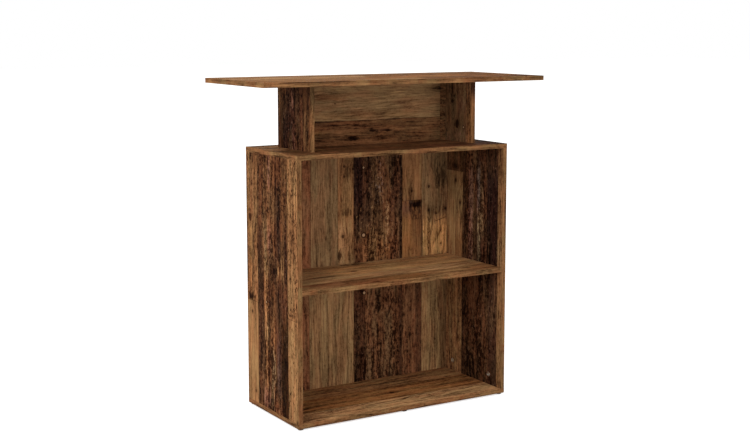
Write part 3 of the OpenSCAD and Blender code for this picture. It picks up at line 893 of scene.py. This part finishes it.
SHELF_DECOR = Decor("tan", 0.2, 0.6, [
    Plank(START, 112, START, END, "pale tan", 0.1, 0.5),
    Plank(112, 240, START, END, "pale tan", 0.08, 0.6),
    Plank(240, END, START, 170, "tan", 0.2, 0.4),
    Plank(240, END, 170, 455, "orange tan", 0.25, 0.4),
    Plank(240, END, 455, END, "tan", 0.2, 0.4),
    Streak(205, 300, 630, END, "russet tan", 0.6),
    Streak(238, END, 40, 320, "red brown", 0.75),
    Streak(30, 165, 200, 700, "amber", 0.45),
    Streak(150, 172, 600, 720, "russet tan", 0.7),
    Flecks(255, 315, 60, END, "umber", 0.45),
    Flecks(120, 255, 600, END, "umber", 0.4),
    Knot(120, 290, 5.5, 2.2, 0.9),
    Knot(298, 268, 4.5, 3.5, 0.9),
    Smudge(16, 345, 14, 48, 0.85),
    Smudge(121, 290, 7, 12, 0.9),
    Smudge(297, 270, 6, 20, 0.9),
    Smudge(256, 632, 11, 20, 0.7),
    Streak(205, 255, 190, 310, "russet tan", 0.6),
    Streak(238, END, 330, 470, "red brown", 0.3),
])

CABINET_BOTTOM_DECOR = Decor("tan", 0.25, 0.5, [
    Plank(START, 130, START, END, "tan", 0.25, 0.6),
    Plank(130, 250, START, END, "orange tan", 0.3, 0.5),
    Plank(250, END, START, END, "pale tan", 0.25, 0.6),
    Knot(190, 420, 5, 1.6, 0.85),
])

side_x = CABINET["width"] / 2
side_top = CABINET["side_foot"] + CABINET["side_height"]
side_y = CABINET["depth"] / 2
riser_x = RISER["width"] / 2
riser_y = RISER["depth"] / 2
riser_top = RISER["foot"] + RISER["height"]
back_panel_y = side_y - BACK_PANEL_INSET - BOARD
riser_back_y = riser_y - RISER_BACK_INSET - BOARD
between_sides = CABINET["width"] - 2 * BOARD
between_uprights = RISER["width"] - 2 * BOARD
shelf_depth = CABINET["depth"] - BACK_PANEL_INSET - BOARD

RIGHT, LEFT = (1, 0, 0), (-1, 0, 0)
FRONT, REAR = (0, -1, 0), (0, 1, 0)
UP, DOWN = (0, 0, 1), (0, 0, -1)

# The ways across the grain, along it and out of the photographed face
STANDING = (FRONT, DOWN, LEFT)
LYING = (FRONT, RIGHT, UP)

# On some of the boards whose inner faces show, the weathered planks are a little cooler: a
# painted shade colour, which offsets the warm light that bounces between the brown boards inside.
PAINTED_SHADE_TINT = (0.96, 1.04, 1.16, 1.0)

# The print's places start at the corner. Length and width are along and across the grain.
Board = namedtuple("Board", "corner ways length width seed decor tint",
                   defaults=[(1.0, 1.0, 1.0, 1.0)])
BOARDS = {
    "side_left": Board((-side_x, side_y, side_top), STANDING,
                       CABINET["side_height"], CABINET["depth"], 4.0, SIDE_LEFT_DECOR),
    "side_right": Board((side_x - BOARD, side_y, side_top), STANDING,
                        CABINET["side_height"], CABINET["depth"], 61.0, SIDE_RIGHT_DECOR, PAINTED_SHADE_TINT),
    "back_panel": Board((BOARD - side_x, back_panel_y, side_top), (RIGHT, DOWN, FRONT),
                        CABINET["side_height"], between_sides, 122.0, BACK_PANEL_DECOR, PAINTED_SHADE_TINT),
    "riser_left": Board((-riser_x, riser_y, riser_top), STANDING,
                        RISER["height"], RISER["depth"], 203.0, RISER_LEFT_DECOR),
    "riser_right": Board((riser_x - BOARD, riser_y, riser_top), STANDING,
                         RISER["height"], RISER["depth"], 244.0, RISER_RIGHT_DECOR, PAINTED_SHADE_TINT),
    "riser_back": Board((BOARD - riser_x, riser_back_y, riser_top), (DOWN, RIGHT, FRONT),
                        between_uprights, RISER["height"], 285.0, RISER_BACK_DECOR),
    "desk_top": Board((-DESK_TOP["width"] / 2, DESK_TOP["depth"] / 2, riser_top + BOARD), LYING,
                      DESK_TOP["width"], DESK_TOP["depth"], 326.0, DESK_TOP_DECOR),
    "cabinet_top": Board((-side_x, side_y, side_top + BOARD), LYING,
                         CABINET["width"], CABINET["depth"], 367.0, CABINET_TOP_DECOR),
    "shelf": Board((BOARD - side_x, back_panel_y, SHELF_FOOT + BOARD), LYING,
                   between_sides, shelf_depth, 408.0, SHELF_DECOR),
    "cabinet_bottom": Board((-side_x, side_y, CABINET["side_foot"]), LYING,
                            CABINET["width"], CABINET["depth"], 449.0, CABINET_BOTTOM_DECOR),
}


def dress(node, material):
    """Gives every material slot of a CAD node the one material."""
    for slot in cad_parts[node].material_slots:
        slot.material = material


for node, board in BOARDS.items():
    dress(node, board_material(node, board))


# Shades are how light the strips are. On a lying board the side strips lie past half_width,
# and a standing board has none. The side strips' second shade is painted light, which makes
# the boards' ends lighter than their fronts. Places of streaks are in millimetres across
# and along the strips, from the part's origin.
Edging = namedtuple("Edging", "front_shade side_shade half_width streaks",
                    defaults=[None, None, ()])
EDGINGS = {
    "desk_top_edging": Edging(1.0, 1.22, DESK_TOP["width"] / 2 - EDGING,
                              [Streak(1035, 1041, -445, -215, "dark", 1.0)]),
    "cabinet_top_edging": Edging(1.0, 1.44, side_x - EDGING),
    "cabinet_bottom_edging": Edging(1.1, 1.25, side_x - EDGING),
    "shelf_edging": Edging(1.09, 1.0, side_x),
    "side_left_edging": Edging(1.0),
    "side_right_edging": Edging(0.97),
    # On the risers' front strips the streaks paint shade: darker at the top, under the desk top,
    # and lighter below
    "riser_left_edging": Edging(0.96, streaks=[Streak(-400, 0, 938, 1060, "olive brown", 1.0),
                                               Streak(-400, 0, 780, 952, "tan shade", 0.8)]),
    "riser_right_edging": Edging(1.0, streaks=[Streak(0, 400, 968, 1060, "dark", 1.0),
                                               Streak(0, 400, 780, 960, "russet tan", 0.8)]),
}
EDGING_WEATHERING, EDGING_FIGURE = 0.12, 0.3
FIRST_EDGING_SEED, EDGING_SEED_STEP = 541.0, 13.0


def edging_material(name, edging, seed):
    """Edging film with its grain along each strip."""
    material, wires = new_material(name + " decor")
    x, y, z = wires.parts(wires.object_place())
    if edging.half_width is None:
        along, across, shade = z, x, edging.front_shade
    else:
        on_side = wires.math("GREATER_THAN", wires.size(x), edging.half_width * MM)
        along = wires.mix(on_side, x, y)
        across = z
        # The side strips get their second shade: painted light on the boards' ends
        shade = wires.mix(on_side, edging.front_shade, edging.side_shade)
    patch = wires.noise(along, 0.0, (11, 0), seed, detail=1.0)
    tone = wires.mix_colour(wires.fade(patch, 0.35, 0.65), paint(119, 81, 53), paint(122, 90, 59))
    shift = wires.noise(along, 0.0, (17, 0), seed + 9.0)
    tone = wires.mix_colour(wires.fade(shift, 0.56, 0.68), tone, paint(114, 74, 47))
    bare = bare_wood(across, along, tone, (EDGING_WEATHERING, EDGING_FIGURE, seed))
    wood = place_features(wires, edging.streaks, bare, seed)
    speck = wires.noise(across, along, (260, 120), seed + 4.0)
    dash = wires.noise(across, along, (330, 52), seed + 6.0)
    marks = wires.most(wires.fade(speck, 0.62, 0.70), wires.fade(dash, 0.62, 0.70))
    wood["Dark"] = wires.product(marks, 0.55)
    wood["Tone"] = wires.scaled(wood["Tone"], shade)
    finish_wood(wires, wood)
    return material


for number, (node, edging) in enumerate(EDGINGS.items()):
    dress(node, edging_material(node, edging, FIRST_EDGING_SEED + EDGING_SEED_STEP * number))


def metal_material(name, colour, darker, grain_size):
    """Metal with a mottle of the given grain size in millimetres, and rubbed patches."""
    material, wires = new_material(name)
    place = wires.object_place()
    mottle = wires.mottle(place, 1 / (grain_size * MM), detail=3.0)
    rubbed = wires.mottle(place, 160.0)
    base = wires.mix_colour(wires.fade(mottle, 0.35, 0.65), darker, colour)
    shader = finish(wires, base, wires.fade(rubbed, 0.35, 0.65, 0.28, 0.45), mottle,
                    strength=0.3, depth=0.05)
    shader.inputs["Metallic"].default_value = 1.0
    return material


def beech_material():
    """Raw beech with its short dark flecks."""
    material, wires = new_material("raw beech")
    place = wires.object_place()
    lines = wires.mottle(place, 300.0, detail=3.0)
    spots = wires.mottle(place, 1200.0)
    tone = wires.mix_colour(lines, paint(206, 170, 122), paint(222, 190, 145))
    tone = wires.mix_colour(wires.fade(spots, 0.62, 0.70), tone, paint(160, 118, 78))
    finish(wires, tone, wires.fade(lines, 0.3, 0.7, 0.55, 0.7), spots, strength=0.4, depth=0.1)
    return material


def glide_material():
    """Moulded black plastic with a fine spark-eroded texture and scuffs near the floor."""
    material, wires = new_material("black glide plastic")
    place = wires.object_place()
    fine = wires.mottle(place, 2500.0)
    scuff = wires.fade(wires.mottle(place, 420.0, detail=4.0), 0.48, 0.62)
    near_floor = wires.fade(wires.parts(place)[2], 2.2 * MM, 0.4 * MM)
    tone = wires.mix_colour(wires.product(near_floor, scuff), paint(34, 33, 33), paint(82, 80, 78))
    finish(wires, tone, wires.fade(fine, 0.3, 0.7, 0.42, 0.6), fine, strength=0.5, depth=0.04)
    return material


ZINC = metal_material("die-cast zinc", paint(240, 236, 228), paint(214, 210, 202), 0.8)
STEEL = metal_material("plated steel", paint(188, 190, 194), paint(150, 152, 156), 0.5)
BEECH = beech_material()
GLIDE = glide_material()

for node in ("side_cams", "shelf_cams", "back_panel_cams", "riser_cams", "riser_back_cams"):
    dress(node, ZINC)
for node in ("side_cam_bolts", "shelf_cam_bolts", "back_panel_cam_bolts", "riser_cam_bolts",
             "riser_back_cam_bolts", "foot_nails"):
    dress(node, STEEL)
for node in ("bottom_dowels", "top_dowels", "shelf_dowels", "back_panel_dowels",
             "riser_foot_dowels", "riser_head_dowels", "riser_back_dowels"):
    dress(node, BEECH)
for node in ("foot_front_left", "foot_front_middle", "foot_front_right",
             "foot_rear_left", "foot_rear_middle", "foot_rear_right"):
    dress(node, GLIDE)


# Places of the cam locks' faces, in millimetres
CAM_SETBACK = 34
CAM_FROM_FRONT = 66
RISER_CAM_FROM_REAR = 25
BACK_PANEL_CAM_X = 245
RISER_BACK_CAM_X = 165


def cam_faces():
    """Each cam lock's centre on its board's face, the face's way and the way to its joint."""
    cam_y = side_y - CAM_FROM_FRONT
    riser_cam_y = riser_y - RISER_CAM_FROM_REAR
    shelf_cam_x = side_x - BOARD - CAM_SETBACK
    low_cam, high_cam = CABINET["side_foot"] + CAM_SETBACK, side_top - CAM_SETBACK
    low_riser_cam, high_riser_cam = RISER["foot"] + CAM_SETBACK, riser_top - CAM_SETBACK
    faces = []
    for side in (-1, 1):
        inwards, outwards = (-side, 0, 0), (side, 0, 0)
        for y in (-cam_y, cam_y):
            faces.append(((side * (side_x - BOARD), y, low_cam), inwards, DOWN))
        for y in (-cam_y, back_panel_y - CAM_FROM_FRONT):
            faces.append(((side * shelf_cam_x, y, SHELF_FOOT), DOWN, outwards))
        for z, way in ((low_cam, DOWN), (high_cam, UP)):
            faces.append(((side * BACK_PANEL_CAM_X, back_panel_y + BOARD, z), REAR, way))
        for z, way in ((low_riser_cam, DOWN), (high_riser_cam, UP)):
            faces.append(((side * (riser_x - BOARD), riser_cam_y, z), inwards, way))
            faces.append(((side * RISER_BACK_CAM_X, riser_back_y + BOARD, z), REAR, way))
    return faces


# Sizes of a rim and its arrow in millimetres
RIM_SIZES = {"Rim Radius": 7.1, "Rim Width": 1.7, "Rim Height": 0.4, "Bevel": 0.12,
             "Arrow Radius": 1.1, "Arrow Place": 5.1, "Arrow Height": 0.2}


def build_rim_tree():
    """Geometry Nodes: a bevelled rim with a raised arrow on every point, turned its way."""
    tree = bpy.data.node_groups.new("Cam rims", "GeometryNodeTree")
    tree.interface.new_socket("Faces", in_out="INPUT", socket_type="NodeSocketGeometry")
    for label, size in RIM_SIZES.items():
        socket = tree.interface.new_socket(label, in_out="INPUT", socket_type="NodeSocketFloat")
        socket.default_value = size * MM
    tree.interface.new_socket("Metal", in_out="INPUT", socket_type="NodeSocketMaterial")
    tree.interface.new_socket("Rims", in_out="OUTPUT", socket_type="NodeSocketGeometry")
    wires = Wires(tree)
    given = wires.node("NodeGroupInput").outputs

    path = wires.node("GeometryNodeCurvePrimitiveCircle",
                      {"Resolution": 48, "Radius": given["Rim Radius"]}, mode="RADIUS")
    section = wires.node("GeometryNodeCurvePrimitiveQuadrilateral",
                         {"Width": given["Rim Width"], "Height": given["Rim Height"]},
                         mode="RECTANGLE")
    eased = wires.node("GeometryNodeFilletCurve",
                       {"Curve": section.outputs["Curve"], "Radius": given["Bevel"], "Count": 2},
                       mode="POLY")
    rim = wires.node("GeometryNodeCurveToMesh", {"Curve": path.outputs["Curve"],
                                                 "Profile Curve": eased.outputs["Curve"]})

    arrow = wires.node("GeometryNodeMeshCylinder",
                       {"Vertices": 3, "Radius": given["Arrow Radius"],
                        "Depth": given["Arrow Height"]})
    shift = wires.node("ShaderNodeCombineXYZ", {"X": given["Arrow Place"]})
    placed = wires.node("GeometryNodeTransform", {"Geometry": arrow.outputs["Mesh"],
                                                  "Translation": shift.outputs[0]})

    both = wires.node("GeometryNodeJoinGeometry")
    wires.feed(both.inputs["Geometry"], rim.outputs["Mesh"])
    wires.feed(both.inputs["Geometry"], placed.outputs["Geometry"])
    turn = wires.node("GeometryNodeInputNamedAttribute", {"Name": "turn"},
                      data_type="FLOAT_VECTOR")
    rotation = wires.node("FunctionNodeEulerToRotation", {"Euler": turn.outputs["Attribute"]})
    copies = wires.node("GeometryNodeInstanceOnPoints",
                        {"Points": given["Faces"], "Instance": both.outputs["Geometry"],
                         "Rotation": rotation.outputs["Rotation"]})
    real = wires.node("GeometryNodeRealizeInstances", {"Geometry": copies.outputs["Instances"]})
    painted = wires.node("GeometryNodeSetMaterial", {"Geometry": real.outputs["Geometry"],
                                                     "Material": given["Metal"]})
    wires.node("NodeGroupOutput", {"Rims": painted.outputs["Geometry"]})
    return tree


def build_cam_rims():
    """The rims of all cam locks, which lie on the boards' faces and hide the bores' edges."""
    faces = cam_faces()
    points = bpy.data.meshes.new("cam faces")
    points.from_pydata([Vector(place) * MM for place, _, _ in faces], [], [])
    turns = points.attributes.new("turn", "FLOAT_VECTOR", "POINT")
    for item, (_, outward, to_joint) in zip(turns.data, faces):
        z_axis, x_axis = Vector(outward), Vector(to_joint)
        axes = Matrix((x_axis, z_axis.cross(x_axis), z_axis)).transposed()
        item.vector = axes.to_euler()
    rims = link(bpy.data.objects.new("cam_rims", points))
    tree = build_rim_tree()
    modifier = rims.modifiers.new("Cam rims", "NODES")
    modifier.node_group = tree
    for socket in tree.interface.items_tree:
        if socket.name == "Metal":
            modifier[socket.identifier] = ZINC
    bpy.context.view_layer.update()
    whole = bpy.data.meshes.new_from_object(
        rims.evaluated_get(bpy.context.evaluated_depsgraph_get()))
    rims.modifiers.clear()
    rims.data = whole
    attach(rims, "root")


def build_camera():
    """The photograph's view, pitched down a little more and with less lens shift."""
    lens = bpy.data.cameras.new("photo view")
    lens.lens = 62.25
    lens.sensor_width = 36.0
    lens.shift_y = -0.04
    lens.clip_start, lens.clip_end = 0.1, 100.0
    camera = link(bpy.data.objects.new("photo view", lens))
    camera.location = (-2.12974, -3.48144, 1.20769)
    pitch_down, heading = 7.35, -31.32
    camera.rotation_euler = (math.radians(90 - pitch_down), 0.0, math.radians(heading))
    bpy.context.scene.camera = camera


def seen(wires):
    """1 for rays that look at something, straight, in a mirror or through glass."""
    path = wires.node("ShaderNodeLightPath").outputs
    return wires.most(path["Is Camera Ray"], path["Is Glossy Ray"], path["Is Transmission Ray"])


WHITE = (1.0, 1.0, 1.0, 1.0)

# How much the floor shines of itself, and how much the surround lights the part
FLOOR_GLOW = 0.62
SKY_LIGHT = 0.84


def build_floor():
    """A pale floor that shows as white, but keeps the shadow."""
    half = 30.0
    mesh = bpy.data.meshes.new("floor")
    mesh.from_pydata([(-half, -half, 0), (half, -half, 0), (half, half, 0), (-half, half, 0)], [],
                     [(0, 1, 2, 3)])
    floor = link(bpy.data.objects.new("floor", mesh))
    material, wires = new_material("studio floor")
    nodes = material.node_tree.nodes
    shader = nodes["Principled BSDF"]
    shader.inputs["Base Color"].default_value = (0.8, 0.8, 0.8, 1.0)
    shader.inputs["Roughness"].default_value = 0.9
    shader.inputs["Specular IOR Level"].default_value = 0.0
    glow = wires.node("ShaderNodeEmission",
                      {"Color": WHITE, "Strength": wires.product(seen(wires), FLOOR_GLOW)})
    both = wires.node("ShaderNodeAddShader", {0: shader.outputs[0], 1: glow.outputs[0]})
    wires.feed(nodes["Material Output"].inputs["Surface"], both.outputs[0])
    mesh.materials.append(material)


def build_world():
    """A white surround, which lights the part a little less than it shows."""
    world = bpy.data.worlds.new("studio")
    world.use_nodes = True
    bpy.context.scene.world = world
    wires = Wires(world.node_tree)
    background = world.node_tree.nodes["Background"]
    wires.feed(background.inputs["Color"], WHITE)
    wires.feed(background.inputs["Strength"], wires.mix(seen(wires), SKY_LIGHT, 1.0))


def softbox(name, place, target, size, power):
    """A square area lamp that faces its target."""
    light = bpy.data.lights.new(name, "AREA")
    light.shape = "SQUARE"
    light.size = size
    light.energy = power
    lamp = link(bpy.data.objects.new(name, light))
    lamp.location = place
    way = [aim - start for aim, start in zip(target, place)]
    flat = math.hypot(way[0], way[1])
    lamp.rotation_euler = (math.atan2(flat, -way[2]), 0.0, math.atan2(way[1], way[0]) - math.pi / 2)


build_cam_rims()
build_camera()
build_floor()
build_world()
softbox("key softbox", place=(-4.0, -2.4, 2.7), target=(0.0, 0.0, 0.55), size=2.6, power=102.0)
softbox("front softbox", place=(1.0, -4.4, 1.4), target=(0.0, 0.0, 0.5), size=2.4, power=38.0)

bpy.context.scene.view_settings.view_transform = "Standard"
